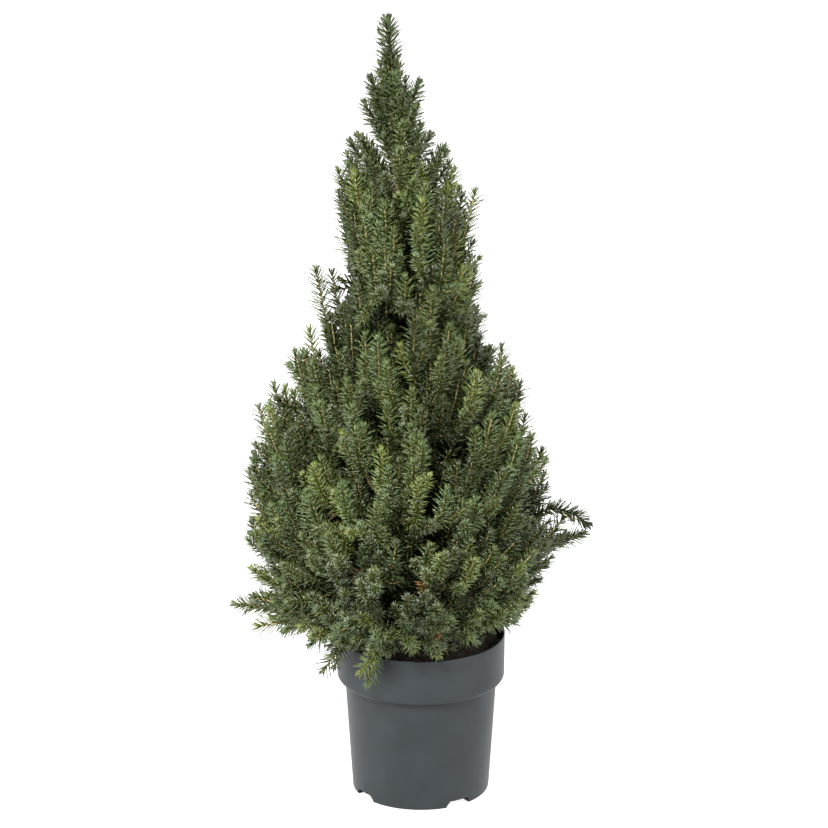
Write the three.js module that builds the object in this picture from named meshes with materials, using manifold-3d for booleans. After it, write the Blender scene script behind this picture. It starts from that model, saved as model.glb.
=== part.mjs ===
// A dwarf Alberta spruce growing in a plain nursery pot. Millimetres, +Z up.
// The origin is the centre of the pot's flat underside, and the plant is seen from -Y.
import * as THREE from 'three';
import { mergeVertices } from 'three/addons/utils/BufferGeometryUtils.js';
import Module from 'manifold-3d';

const wasm = await Module();
wasm.setup();

// ---------------------------------------------------------------- driving dimensions

const GAP = 0.3; // clearance between neighbouring solids
const FINEST = 0.01; // corners closer than this count as one
const ATTEMPTS = 24; // tries at a foliage solid that stays closed at that fineness
const ROLL = 0.07; // how much further its shoots are rolled round at each try, in radians
const CLEAR = { side: 0.7, level: 1.6 }; // kept at the planes and the curved levels between masses

const POT = {
  height: 187,
  rimRadius: 95, // outside of the collar
  footRadius: 77.3, // outside of the body at the ground
  taper: 0.0637, // how much the body widens for each millimetre of height
  collarHeight: 53.5,
  collarRound: 7, // rounding under the collar
  collarTaper: 0.5, // how much the collar narrows downwards
  lip: 0.8, // bevel of the rim
  footRound: 2.5,
  wall: 1.8,
  floor: 2.5,
  segments: 36,
};
// Drainage notches in the foot, the first at so many degrees from +X.
const NOTCH = { count: 4, first: -56, height: 8, width: 31, depth: 20, slope: 4 };
const SOIL = {
  top: 176,
  segments: 24,
  footRadius: 54,
  chamferTop: 12,
  shoulder: 2, // how far under its top the crumbly surface starts
  rings: [0.8, 0.6, 0.42], // shares of the collar's inside radius
  roughness: 1.6,
  bare: 4, // flat soil beyond the root flare
};

const TRUNK = {
  footX: -18, // the stem stands a little off the pot's centre
  lean: -19, // sideways drift from the soil to the top of the tree
  sway: 3,
  tip: 748,
  footRadius: 9.5,
  tipRadius: 2.4,
  flare: 6, // root flare, added to the foot's radius
  flareHeight: 14,
  flareRings: [0, 4, 10, 22], // heights over the soil
  buttress: 0.18, // how far the lowest rings bulge towards the main roots
  roots: 3,
  stemRings: 9, // from 60 mm over the soil to the tip
  sides: 9,
};
const TREE_TOP = 894;

// The crown's outline: its radius round the stem at each height.
const OUTLINE = [
  [168, 110], [215, 140], [290, 164], [380, 163], [480, 130], [570, 92],
  [640, 73], [705, 69], [760, 42], [805, 21], [850, 13], [TREE_TOP, 0],
];

// Foliage lies between bowl-shaped levels. A level leaves the stem, climbs by `climb` and
// meets the outline at height z. A large `curl` keeps it flat near the stem and steep outside.
const LEVELS = [
  { z: 170, climb: -36, curl: 4.5 },
  { z: 262, climb: 28, curl: 2.2 },
  { z: 372, climb: 82, curl: 2.3 },
  { z: 485, climb: 114, curl: 2.3 },
  { z: 600, climb: 120, curl: 2.2 },
  { z: 745, climb: 62, curl: 1.7 },
  { z: TREE_TOP, climb: 44, curl: 1.3 },
];
// Each tier fills the space over the level of the same index. `turn` is in sectors, and `entry`
// is the share of the way out where a bough enters its foliage.
const TIERS = [
  { name: 'skirt', sectors: 6, turn: 0.5, shoots: 6, entry: 0.34 },
  { name: 'lower', sectors: 6, turn: 0.0, shoots: 8, entry: 0.32 },
  { name: 'middle', sectors: 6, turn: 0.35, shoots: 8, entry: 0.3 },
  { name: 'upper', sectors: 5, turn: 0.1, shoots: 8, entry: 0.3 },
  { name: 'shoulder', sectors: 4, turn: 0.62, shoots: 8, entry: 0.3 },
];
const LOWEST_SHARE = -0.5; // how far below its own level the lowest tier may hang
const LEADER = {
  shoots: 14,
  lowest: 752, // heights of the side shoots' tips
  highest: 868,
  rise: 50,
  closest: 14,
  turn: 137.5,
  core: [[-46, 14], [-12, 38], [22, 28], [58, 15], [96, 2.6]], // heights over the trunk's tip, and radii
};

const BOUGH = {
  radius: 3.7,
  tipShare: 0.62,
  sides: 5,
  steps: 3,
  root: 1, // starts this far from the stem's axis, inside the trunk
  lowest: 0.3, // shares of its mass's height that it runs at
  highest: 0.54,
  stagger: 0.45, // from one sector to the next
};
const STEM = { radius: 2.6, tipRadius: 1.6, sides: 5, reach: 0.66 };
const CORE = {
  width: 0.86, // share of the sector that it fills
  low: 0.03, // shares of the mass's height
  high: 0.95,
  depth: 38, // how far inside the outline it ends, measured along the shoots
  layers: [[0, 0.3], [0.4, 0.95], [0.82, 1], [1, 0.62]], // share of the way out, and width there
  corners: [[0, -1], [1, -0.7], [1, 0.7], [0, 1], [-1, 0.7], [-1, -0.7]], // across and up a layer
};
const SHOOT = {
  length: 54,
  radius: 3,
  swell: [0.9, 1.1, 1, 0.4], // of the radius, from the foot of the needles to the tip
  twigRadius: 1.6,
  sides: 3,
  bands: 3,
  twigBands: 1,
  room: 7, // kept between the middles of two shoots
};
const NEEDLE = { reach: 13.5, forward: 11, share: 0.42, room: 4.5 };
const SPREAD = [0.7548776662, 0.569840291]; // steps across and up a mass from each shoot to the next
const TIP = { shortest: 0.9, longest: 1.05 }; // how far shoots end from the outline, as a share of its radius

// Long shoots that break the outline: where they end, as an azimuth in degrees, a height and
// a distance from the stem.
const STRAYS = [
  { azimuth: -111, z: 167, radius: 113 },
  { azimuth: -140, z: 172, radius: 116 },
  { azimuth: 181, z: 214, radius: 192 },
  { azimuth: 194, z: 200, radius: 150 },
  { azimuth: -3, z: 318, radius: 208 },
  { azimuth: 183, z: 318, radius: 166 },
  { azimuth: 2, z: 352, radius: 160 },
  { azimuth: 178, z: 386, radius: 163 },
  { azimuth: 4, z: 396, radius: 158 },
  { azimuth: 176, z: 434, radius: 150 },
  { azimuth: 184, z: 474, radius: 136 },
  { azimuth: 183, z: 528, radius: 120 },
  { azimuth: 179, z: 612, radius: 92 },
  { azimuth: 2, z: 702, radius: 84 },
];

const SEED = 20147;

// ---------------------------------------------------------------- small tools

// A repeatable number from 0 to 1 for a set of whole-number keys.
function chance(...keys) {
  let h = SEED;
  for (const key of keys) {
    h = Math.imul(h ^ key, 0x9e3779b1);
    h ^= h >>> 15;
    h = Math.imul(h, 0x85ebca6b);
    h ^= h >>> 13;
  }
  return (h >>> 0) / 2 ** 32;
}

const lerp = THREE.MathUtils.lerp;
const clamp = THREE.MathUtils.clamp;
const fraction = (x) => x - Math.floor(x);
const radians = THREE.MathUtils.degToRad;
const evenly = (count, value) => Array.from({ length: count }, (_, i) => value(i / (count - 1), i));

// A closed geometry as a solid that can be joined and cut.
function solidOf(geometry) {
  const bare = new THREE.BufferGeometry().setAttribute('position', geometry.getAttribute('position'));
  bare.setIndex(geometry.getIndex());
  const merged = mergeVertices(bare, 1e-4);
  return new wasm.Manifold(
    new wasm.Mesh({
      numProp: 3,
      vertProperties: new Float32Array(merged.attributes.position.array),
      triVerts: new Uint32Array(merged.index.array),
    }),
  );
}

function geometryOf(solid) {
  const mesh = solid.getMesh();
  const geometry = new THREE.BufferGeometry();
  geometry.setAttribute('position', new THREE.BufferAttribute(new Float32Array(mesh.vertProperties), 3));
  geometry.setIndex(new THREE.BufferAttribute(new Uint32Array(mesh.triVerts), 1));
  geometry.computeVertexNormals();
  return geometry;
}

// Solids fused into one body, its sealed hollows filled and loose scraps dropped.
function fuse(solids) {
  const pieces = wasm.Manifold.union(solids).decompose();
  return pieces.reduce((best, piece) => (piece.volume() > best.volume() ? piece : best));
}

// Whether a solid stays one closed skin when corners that nearly touch are run together.
function isSound(solid) {
  const geometry = geometryOf(solid);
  geometry.deleteAttribute('normal');
  const index = mergeVertices(geometry, FINEST).getIndex().array;
  const edges = [];
  for (let i = 0; i < index.length; i += 3) {
    const [a, b, c] = index.slice(i, i + 3);
    if (a !== b && b !== c && c !== a) edges.push(`${a} ${b}`, `${b} ${c}`, `${c} ${a}`);
  }
  const found = new Set(edges);
  const matched = edges.every((edge) => found.has(edge.split(' ').reverse().join(' ')));
  return matched && found.size === edges.length;
}

// A foliage solid, its shoots rolled round a little further until it comes out sound.
function soundly(build) {
  for (let attempt = 0; attempt < ATTEMPTS; attempt++) {
    const solid = build(attempt * ROLL);
    if (isSound(solid)) return solid;
  }
  throw new Error('no sound solid was found');
}

// Triangles over a run of equal-sided rings, closed at both ends. Each ring must be level with
// the one before or turned back from it by up to half a side. `spike` may raise a point over any
// triangle of the sides, which makes a needle of it.
function closedLoft(rings, spike = () => null) {
  const sides = rings[0].length;
  const positions = [];
  const triangles = [];
  const add = (point) => positions.push(point.x, point.y, point.z) / 3 - 1;
  const at = (ring, side) => ring * sides + (side % sides);
  rings.flat().forEach(add);
  const put = (a, b, c, band) => {
    const corners = [a, b, c].map((i) => new THREE.Vector3().fromArray(positions, 3 * i));
    const apex = spike(corners, band, triangles.length);
    if (!apex) {
      triangles.push([a, b, c]);
      return;
    }
    const top = add(apex);
    triangles.push([a, b, top], [b, c, top], [c, a, top]);
  };
  for (let band = 0; band < rings.length - 1; band++) {
    for (let side = 0; side < sides; side++) {
      const [a, b] = [at(band, side), at(band, side + 1)];
      const [c, d] = [at(band + 1, side), at(band + 1, side + 1)];
      put(a, b, d, band);
      put(a, d, c, band);
    }
  }
  const last = rings.length - 1;
  for (let side = 1; side < sides - 1; side++) {
    triangles.push([at(0, 0), at(0, side + 1), at(0, side)]);
    triangles.push([at(last, 0), at(last, side), at(last, side + 1)]);
  }
  const geometry = new THREE.BufferGeometry();
  geometry.setAttribute('position', new THREE.Float32BufferAttribute(positions, 3));
  geometry.setIndex(triangles.flat());
  return geometry;
}

// Rings of the given radii square to a path, the first rolled by `roll` and each turned by
// `twist` from the one before.
// A path gives a point for each share of its length.
function ringsAlong(path, radii, sides, twist = 0, roll = 0) {
  const upright = new THREE.Vector3(0.31, 0.17, 0.94).normalize();
  return evenly(radii.length, (share, i) => {
    const along = path(share + 0.01).sub(path(share - 0.01)).normalize();
    const across = new THREE.Vector3().crossVectors(along, upright).normalize();
    const over = new THREE.Vector3().crossVectors(along, across);
    return Array.from({ length: sides }, (_, side) => {
      const turn = (2 * Math.PI * side) / sides + twist * i + roll;
      return path(share)
        .addScaledVector(across, radii[i] * Math.cos(turn))
        .addScaledVector(over, radii[i] * Math.sin(turn));
    });
  });
}

// A level ring.
function ringRound(centre, radius, sides) {
  return Array.from({ length: sides }, (_, side) => {
    const angle = (2 * Math.PI * side) / sides;
    return centre.clone().add(new THREE.Vector3(radius * Math.cos(angle), radius * Math.sin(angle), 0));
  });
}

function limb(path, radii, sides) {
  return solidOf(closedLoft(ringsAlong(path, radii, sides)));
}

// ---------------------------------------------------------------- the crown's shape

// Where the stem's axis is at a height.
function axisAt(z) {
  const share = (z - SOIL.top) / (TREE_TOP - SOIL.top);
  const sway = TRUNK.sway * Math.sin(2 * Math.PI * share);
  return new THREE.Vector3(TRUNK.footX + TRUNK.lean * share ** 2 - sway, sway, z);
}

function trunkRadius(z) {
  const share = clamp((z - SOIL.top) / (TRUNK.tip - SOIL.top), 0, 1);
  const flare = TRUNK.flare * Math.exp(-(z - SOIL.top) / TRUNK.flareHeight);
  return lerp(TRUNK.footRadius, TRUNK.tipRadius, share) + flare;
}

function outlineRadius(z) {
  const next = OUTLINE.findIndex(([height]) => height >= z);
  if (next <= 0) return OUTLINE[next < 0 ? OUTLINE.length - 1 : 0][1];
  const [[lowZ, lowR], [highZ, highR]] = [OUTLINE[next - 1], OUTLINE[next]];
  return lerp(lowR, highR, (z - lowZ) / (highZ - lowZ));
}

// The level a share v of the way up through a tier.
function levelIn(tier, v) {
  const [low, high] = [LEVELS[tier], LEVELS[tier + 1]];
  return {
    z: lerp(low.z, high.z, v),
    climb: lerp(low.climb, high.climb, v),
    curl: lerp(low.curl, high.curl, v),
  };
}

function levelHeight(level, r) {
  return level.z - level.climb * (1 - (r / Math.max(outlineRadius(level.z), 4)) ** level.curl);
}

// How steeply shoots rise where they reach the outline.
function slopeAt(tier, v) {
  const level = levelIn(tier, v);
  return (level.climb * level.curl) / Math.max(outlineRadius(level.z), 4);
}

// The middle azimuth of a sector, and half its width.
function sectorAzimuth(tier, sector) {
  return (2 * Math.PI * (sector + TIERS[tier].turn)) / TIERS[tier].sectors;
}
const halfSector = (tier) => Math.PI / TIERS[tier].sectors;

// A point of the crown: u from -1 to 1 across the mass, v from 0 to 1 up it, r from the stem.
function crownPoint(mass, u, v, r) {
  const z = levelHeight(levelIn(mass.tier, v), r);
  const azimuth = mass.azimuth + u * mass.half;
  return axisAt(z).add(new THREE.Vector3(r * Math.cos(azimuth), r * Math.sin(azimuth), 0));
}

// Whether a point keeps inside the space of its mass, with `room` to spare.
function inSpace(mass, point, room = 0) {
  const out = point.clone().sub(axisAt(point.z));
  const r = Math.hypot(out.x, out.y);
  const turn = Math.atan2(out.y, out.x) - mass.azimuth;
  const off = Math.abs(Math.atan2(Math.sin(turn), Math.cos(turn)));
  const toSide = r * Math.sin(mass.half - off);
  if (mass.half < Math.PI && (off > mass.half || toSide < CLEAR.side + room)) return false;
  if (point.z < TRUNK.tip + GAP && r < trunkRadius(point.z) + CLEAR.level + room) return false;
  const floor = mass.tier === 0 ? 0 : levelHeight(LEVELS[mass.tier], r);
  const roof = mass.tier < TIERS.length ? levelHeight(LEVELS[mass.tier + 1], r) : Infinity;
  if (point.z < floor + CLEAR.level + room || point.z > roof - CLEAR.level - room) return false;
  const overPot = Math.hypot(point.x, point.y) < POT.rimRadius + CLEAR.level + room;
  return !(overPot && point.z < POT.height + CLEAR.level + room);
}

// ---------------------------------------------------------------- pot and soil

function bodyRadius(z) {
  return POT.footRadius + POT.taper * z;
}

function arc(centreR, centreZ, radius, from, to, steps) {
  return evenly(steps, (share) => {
    const angle = radians(lerp(from, to, share));
    return new THREE.Vector2(centreR + radius * Math.cos(angle), centreZ + radius * Math.sin(angle));
  });
}

function lathe(profile, segments) {
  const geometry = new THREE.LatheGeometry(profile, segments);
  geometry.rotateX(Math.PI / 2); // three.js turns profiles round +Y
  return solidOf(geometry);
}

function potSolid() {
  const { height, rimRadius, wall, floor, footRound, collarRound, lip } = POT;
  const collar = height - POT.collarHeight;
  const collarFoot = rimRadius - POT.collarTaper;
  const point = (r, z) => new THREE.Vector2(r, z);
  const profile = [
    point(0, 0),
    ...arc(POT.footRadius - footRound, footRound, footRound, -90, 0, 3),
    point(bodyRadius(collar), collar),
    ...arc(collarFoot - collarRound, collar + collarRound, collarRound, -90, 0, 4),
    point(rimRadius, height - lip),
    point(rimRadius - lip / 2, height),
    point(rimRadius - wall + lip / 2, height),
    point(collarFoot - wall, collar + collarRound + wall),
    point(bodyRadius(collar) - wall, collar + wall),
    point(bodyRadius(floor) - wall, floor),
    point(0, floor),
  ];
  const notch = new THREE.Shape([
    point(-NOTCH.width / 2, -1),
    point(NOTCH.width / 2, -1),
    point(NOTCH.width / 2 - NOTCH.slope, NOTCH.height),
    point(NOTCH.slope - NOTCH.width / 2, NOTCH.height),
  ]);
  let solid = lathe(profile, POT.segments);
  for (let i = 0; i < NOTCH.count; i++) {
    const cut = new THREE.ExtrudeGeometry(notch, { depth: 1.5 * NOTCH.depth, bevelEnabled: false });
    cut.rotateX(Math.PI / 2).rotateZ(Math.PI / 2);
    cut.translate(POT.footRadius - NOTCH.depth, 0, 0);
    cut.rotateZ(radians(NOTCH.first + (360 * i) / NOTCH.count));
    solid = solid.subtract(solidOf(cut));
  }
  return solid;
}

// The root ball fills the pot and ends in crumbly soil, flat where the trunk stands.
function soilSolid() {
  const collar = POT.height - POT.collarHeight;
  const inside = (z) => bodyRadius(z) - POT.wall - 2 * GAP;
  const collarInside = POT.rimRadius - POT.collarTaper - POT.wall - 2 * GAP;
  const sides = [
    [SOIL.footRadius, POT.floor + GAP],
    [inside(SOIL.chamferTop), SOIL.chamferTop],
    [inside(collar), collar + POT.wall + GAP],
    [collarInside, collar + POT.collarRound + POT.wall + SOIL.shoulder],
    [collarInside, SOIL.top - SOIL.shoulder],
  ];
  const flat = TRUNK.footRadius + TRUNK.flare + SOIL.bare;
  const surface = SOIL.rings.map((share) => [collarInside * share, SOIL.top]);
  const ringAt = (r, z, level, centreX = 0) =>
    Array.from({ length: SOIL.segments }, (_, i) => {
      const angle = (2 * Math.PI * i) / SOIL.segments;
      const lump = level < sides.length ? 0 : SOIL.roughness * (2 * chance(level, i) - 1.4);
      return new THREE.Vector3(centreX + r * Math.cos(angle), r * Math.sin(angle), z + lump);
    });
  const rings = [...sides, ...surface].map(([r, z], level) => ringAt(r, z, level));
  rings.push(ringAt(flat, SOIL.top, 0, TRUNK.footX));
  return solidOf(closedLoft(rings));
}

// ---------------------------------------------------------------- wood

// The trunk, thickened by `extra` where it serves to cut the boughs clear.
function trunkSolid(extra = 0) {
  const foot = TRUNK.flareRings.map((rise) => SOIL.top + rise);
  const stem = evenly(TRUNK.stemRings, (share) => lerp(SOIL.top + 60, TRUNK.tip, share));
  const heights = [...foot, ...stem];
  const path = heights.map((z) => axisAt(z + (extra && z === SOIL.top ? -extra : 0)));
  const rings = path.map((centre, i) =>
    Array.from({ length: TRUNK.sides }, (_, side) => {
      const angle = (2 * Math.PI * side) / TRUNK.sides;
      const buttress = heights[i] < foot[2] ? 1 + TRUNK.buttress * Math.cos(TRUNK.roots * angle + 1) : 1;
      const r = trunkRadius(heights[i]) * buttress + extra;
      return centre.clone().add(new THREE.Vector3(r * Math.cos(angle), r * Math.sin(angle), 0));
    }),
  );
  return solidOf(closedLoft(rings));
}

const boughTip = (mass) => mass.reach * TIERS[mass.tier].entry;

function boughSolid(mass, trunkCut) {
  const end = boughTip(mass) - GAP;
  const path = (share) => crownPoint(mass, 0, mass.height, lerp(BOUGH.root, end, share));
  const base = BOUGH.radius * lerp(0.8, 1.15, mass.reach / 165);
  const radii = evenly(BOUGH.steps, (share) => base * lerp(1, BOUGH.tipShare, share));
  return limb(path, radii, BOUGH.sides).subtract(trunkCut);
}

// ---------------------------------------------------------------- foliage

// Whether any of the points comes within `room` of those already taken up.
function crowded(points, taken, room) {
  return points.some((point) => taken.some((other) => point.distanceTo(other) < room));
}

// A twig that becomes a needle-clad shoot over its last stretch. It keeps to the mass's space
// and clear of the points that earlier shoots have taken up.
function shootSolid(mass, path, key) {
  const { bands, twigBands, sides } = SHOOT;
  const count = bands + twigBands;
  const twig = Array(twigBands).fill(SHOOT.twigRadius);
  const radii = [...twig, ...SHOOT.swell.map((size) => SHOOT.radius * size)];
  const rings = ringsAlong(path, radii, sides, -Math.PI / sides, mass.roll);
  const clear = evenly(4 * count, path).every((point) => inSpace(mass, point, SHOOT.radius));
  const spine = evenly(4 * bands, (share) => path(lerp(twigBands / count, 1, share)));
  if (!clear || crowded(spine, mass.taken, SHOOT.room)) return null;
  const needles = [];
  const needle = (corners, band, index) => {
    if (band < twigBands || chance(mass.id, key, index, 5) > NEEDLE.share) return null;
    const middle = corners[0].clone().add(corners[1]).add(corners[2]).divideScalar(3);
    const [back, front] = [band, band + 1].map((ring) => path(ring / count));
    const forward = front.clone().sub(back).normalize();
    const outward = middle.clone().sub(back.lerp(front, 0.5)).projectOnPlane(forward).normalize();
    const size = lerp(0.8, 1.1, chance(mass.id, key, index, 6));
    const apex = middle
      .clone()
      .addScaledVector(outward, NEEDLE.reach * size)
      .addScaledVector(forward, NEEDLE.forward * size);
    const length = [0.35, 0.7, 1].map((share) => middle.clone().lerp(apex, share));
    if (!length.every((point) => inSpace(mass, point))) return null;
    if (crowded(length, mass.taken, NEEDLE.room)) return null;
    needles.push(...length);
    return apex;
  };
  const solid = solidOf(closedLoft(rings, needle));
  mass.taken.push(...spine, ...needles);
  return solid;
}

// The path of a twig that forks from the stem at radius `fork` and ends as a shoot at (u, v).
function twigPath(mass, u, v, fork, tip) {
  const outline = outlineRadius(levelIn(mass.tier, v).z);
  const run = SHOOT.length / Math.hypot(1, slopeAt(mass.tier, v)); // measured level
  const start = Math.max(fork + 2, Math.min(tip, outline) - run);
  const bare = SHOOT.twigBands / (SHOOT.twigBands + SHOOT.bands);
  return (share) => {
    const r = share < bare ? lerp(fork, start, share / bare) : lerp(start, tip, (share - bare) / (1 - bare));
    const spread = THREE.MathUtils.smoothstep(r, fork, lerp(start, tip, 0.2));
    return crownPoint(mass, u * spread, lerp(mass.height, v, spread), r);
  };
}

// The smaller, solid heart of a dense mass, shaped like its space.
function coreSolid(mass) {
  const inner = boughTip(mass) + 5;
  const [middle, half] = [(CORE.low + CORE.high) / 2, (CORE.high - CORE.low) / 2];
  const rings = CORE.layers.map(([share, size]) =>
    CORE.corners.map(([across, up]) => {
      const v = middle + up * size * half;
      const inset = CORE.depth / Math.hypot(1, slopeAt(mass.tier, v));
      const outer = outlineRadius(levelIn(mass.tier, v).z) - inset;
      return crownPoint(mass, across * size * CORE.width, v, lerp(inner, outer, share));
    }),
  );
  return solidOf(closedLoft(rings));
}

// How far up a tier a point at a height and a distance from the stem lies, as a share.
function heightShare(tier, z, r) {
  let [low, high] = [LOWEST_SHARE, 1];
  for (let step = 0; step < 24; step++) {
    const middle = (low + high) / 2;
    if (levelHeight(levelIn(tier, middle), r) < z) low = middle;
    else high = middle;
  }
  return (low + high) / 2;
}

// The long shoots that end in this mass's space or beside it, past the outline.
function strayShoots(mass) {
  const lowest = mass.tier === 0 ? LOWEST_SHARE : 0;
  return STRAYS.map(({ azimuth, z, radius }) => {
    const turn = radians(azimuth) - mass.azimuth;
    const u = Math.atan2(Math.sin(turn), Math.cos(turn)) / mass.half;
    return { u, v: heightShare(mass.tier, z, radius), tip: radius };
  }).filter(({ u, v }) => Math.abs(u) < 1 && v > lowest + 0.01 && v < 0.99);
}

// Shoots spread evenly over the mass, in an order that stays even however many are grown.
function evenShoots(mass) {
  return Array.from({ length: TIERS[mass.tier].shoots }, (_, i) => {
    const u = 2 * fraction(chance(mass.id, 1) + i * SPREAD[0]) - 1;
    const v = lerp(0.08, 0.94, fraction(chance(mass.id, 2) + i * SPREAD[1]));
    const outline = outlineRadius(levelIn(mass.tier, v).z);
    return { u, v, tip: outline * lerp(TIP.shortest, TIP.longest, chance(mass.id, i, 3)) };
  });
}

function joinShoots(mass, solids) {
  const [start, end] = [boughTip(mass) + 4, mass.reach * STEM.reach];
  const wanted = [...strayShoots(mass), ...evenShoots(mass)];
  wanted.forEach(({ u, v, tip }, i) => {
    const width = 1 - NEEDLE.reach / (tip * Math.sin(mass.half)); // leaves the needles room at the sides
    const fork = lerp(start, end, 0.6 * chance(mass.id, i, 4));
    solids.push(shootSolid(mass, twigPath(mass, clamp(u, -width, width), v, fork, tip), i));
  });
}

// A mass's space, and the share of its height that its bough runs at.
function massOf(tier, sector) {
  const height = lerp(BOUGH.lowest, BOUGH.highest, fraction(sector * BOUGH.stagger));
  return {
    tier,
    id: tier * 16 + sector,
    azimuth: sectorAzimuth(tier, sector),
    half: halfSector(tier),
    height,
    reach: outlineRadius(levelIn(tier, height).z),
  };
}

function foliageSolid(mass, roll) {
  Object.assign(mass, { roll, taken: [] });
  const [start, end] = [boughTip(mass), mass.reach * STEM.reach];
  const stem = (share) => crownPoint(mass, 0, mass.height, lerp(start, end, share));
  const radii = evenly(3, (share) => lerp(STEM.radius, STEM.tipRadius, share));
  const solids = [limb(stem, radii, STEM.sides), coreSolid(mass)];
  joinShoots(mass, solids);
  return fuse(solids.filter(Boolean));
}

// The top of the tree: the leading shoot, and side shoots that rise steeply beside it.
function leaderSolid(roll) {
  const tier = TIERS.length;
  const mass = { tier, id: tier * 16, azimuth: 0, half: Math.PI, roll, taken: [] };
  const foot = TRUNK.tip + GAP;
  const leading = (share) => axisAt(lerp(foot + 60, TREE_TOP - 5, share));
  const stem = (share) => axisAt(lerp(foot, foot + 30, share));
  const core = LEADER.core.map(([rise, radius]) => ringRound(axisAt(foot + rise), radius, 7));
  const solids = [limb(stem, [TRUNK.tipRadius, STEM.tipRadius], 5), solidOf(closedLoft(core))];
  solids.push(shootSolid(mass, leading, LEADER.shoots));
  for (let i = 0; i < LEADER.shoots; i++) {
    const top = lerp(LEADER.lowest, LEADER.highest, i / (LEADER.shoots - 1));
    const base = Math.max(top - LEADER.rise, foot + 8);
    const reach = Math.max(outlineRadius(top) * 0.92, LEADER.closest);
    const azimuth = radians(LEADER.turn * i);
    const out = new THREE.Vector3(Math.cos(azimuth), Math.sin(azimuth), 0);
    const side = (share) =>
      axisAt(lerp(base, top, share)).addScaledVector(out, lerp(reach * 0.35, reach, share));
    solids.push(shootSolid(mass, side, i));
  }
  return fuse(solids.filter(Boolean)).subtract(trunkCut);
}

// ---------------------------------------------------------------- assembly

const FINISH = {
  pot: new THREE.MeshStandardMaterial({ color: 0x4d5357, roughness: 0.45, metalness: 0 }),
  soil: new THREE.MeshStandardMaterial({ color: 0x1f1813, roughness: 1, metalness: 0 }),
  bark: new THREE.MeshStandardMaterial({ color: 0x6b4d30, roughness: 0.9, metalness: 0 }),
  needles: new THREE.MeshStandardMaterial({ color: 0x35502a, roughness: 0.7, metalness: 0 }),
};

const plant = new THREE.Group();

function addNode(name, solid, material) {
  const mesh = new THREE.Mesh(geometryOf(solid), material);
  mesh.name = name;
  plant.add(mesh);
}

addNode('pot', potSolid(), FINISH.pot);
addNode('soil', soilSolid(), FINISH.soil);
addNode('trunk', trunkSolid(), FINISH.bark);

const trunkCut = trunkSolid(GAP);
TIERS.forEach(({ name, sectors }, tier) => {
  for (let sector = 0; sector < sectors; sector++) {
    const mass = massOf(tier, sector);
    addNode(`bough_${name}_${sector + 1}`, boughSolid(mass, trunkCut), FINISH.bark);
    addNode(`foliage_${name}_${sector + 1}`, soundly((roll) => foliageSolid(mass, roll)), FINISH.needles);
  }
});
addNode('foliage_leader', soundly(leaderSolid), FINISH.needles);

export default plant;
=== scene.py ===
"""The looks of a dwarf spruce in a nursery pot, in metres, +Z up, seen from -Y."""

import math

import bpy
import numpy as np
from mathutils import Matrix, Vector, noise


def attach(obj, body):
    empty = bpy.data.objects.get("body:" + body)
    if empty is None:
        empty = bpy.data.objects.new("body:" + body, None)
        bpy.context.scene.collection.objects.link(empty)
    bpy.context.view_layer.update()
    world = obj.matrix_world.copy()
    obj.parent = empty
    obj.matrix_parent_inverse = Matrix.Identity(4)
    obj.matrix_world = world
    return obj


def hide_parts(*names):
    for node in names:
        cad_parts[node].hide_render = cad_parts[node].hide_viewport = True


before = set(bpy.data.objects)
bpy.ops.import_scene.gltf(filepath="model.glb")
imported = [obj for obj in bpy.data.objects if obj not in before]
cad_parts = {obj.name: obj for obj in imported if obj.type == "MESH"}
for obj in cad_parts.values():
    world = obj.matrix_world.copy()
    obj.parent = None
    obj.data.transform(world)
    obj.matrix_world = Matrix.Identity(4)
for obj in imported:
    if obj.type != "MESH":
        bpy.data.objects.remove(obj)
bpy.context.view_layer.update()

# ---- driving dimensions
# The main sizes of pot, notches, soil, trunk, outline, levels, tiers and boughs are the CAD source's.
# Two numbers in brackets are a range, unless a comment says otherwise.

POT = {
    "height": 0.187,
    "rim": 0.095,  # outside radius of the collar at its top
    "foot": 0.0773,  # outside radius of the body at the ground
    "taper": 0.0637,  # its widening per metre of height
    "collar": 0.0535,  # height of the collar
    "wall": 0.0018,
    "floor": 0.0025,
}
MOULDING = {
    "underside": 0.040,  # radius of a ring in the flat underside
    "foot_round": 0.0025,
    "body_start": 0.006,  # height of the body's lowest ring
    "groove_height": 0.0020,  # the groove right under the collar
    "groove_depth": 0.0013,
    "groove_lip": 0.0004,  # how far the collar's underside starts out from the groove
    "edge": 0.005,  # rounding of the collar's lower edge
    "collar_taper": 0.0005,  # the collar's narrowing downwards
    "inside_taper": 0.0006,  # and its inside
    "inside_rise": 0.007,  # height of the slope inside the collar's foot
    "rim_round": 0.0009,
    "segments": 192,
    "sharp": 35,  # degrees from which an edge is shaded sharp
}
NOTCH = {
    "count": 4,
    "first": -56,  # azimuth in degrees
    "height": 0.008,
    "width": 0.031,
    "depth": 0.020,
    "slope": 0.004,  # how far its sides close in towards its top
    "upright": 0.003,  # height up to which its sides don't
    "beyond": 0.010,  # the cut goes out past the foot
    "under": 0.002,  # and under it
}

SOIL_TOP = 0.176
SOIL = {
    "underside": 0.0029,  # height over the ground
    "foot": 0.054,  # radius of its underside
    "chamfer": 0.012,  # height at which it meets the body's wall
    "play": 0.0004,  # kept from the body's wall
    "collar_play": 0.0013,  # kept from the collar's wall
    "widening": (0.0022, 0.011),  # heights over the collar's foot
    "settled": 0.0008,  # its surface lies under its top
    "rings": 46,
    "segments": 150,
}
LUMPS = [(60, 3.1, 0.0022), (190, 7.7, 0.0013)]  # how fine, the layer of noise read, and height
CRUMB = {
    "count": 1500,
    "margin": 0.004,  # kept from the pot
    "length": (0.0006, 0.0021),
    "width": (0.5, 1),  # shares of its length
    "height": (0.4, 0.8),
    "roughness": (0.7, 1.25),
    "sit": 0.35,  # its middle's height over the soil, as a share of its own
}

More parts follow.
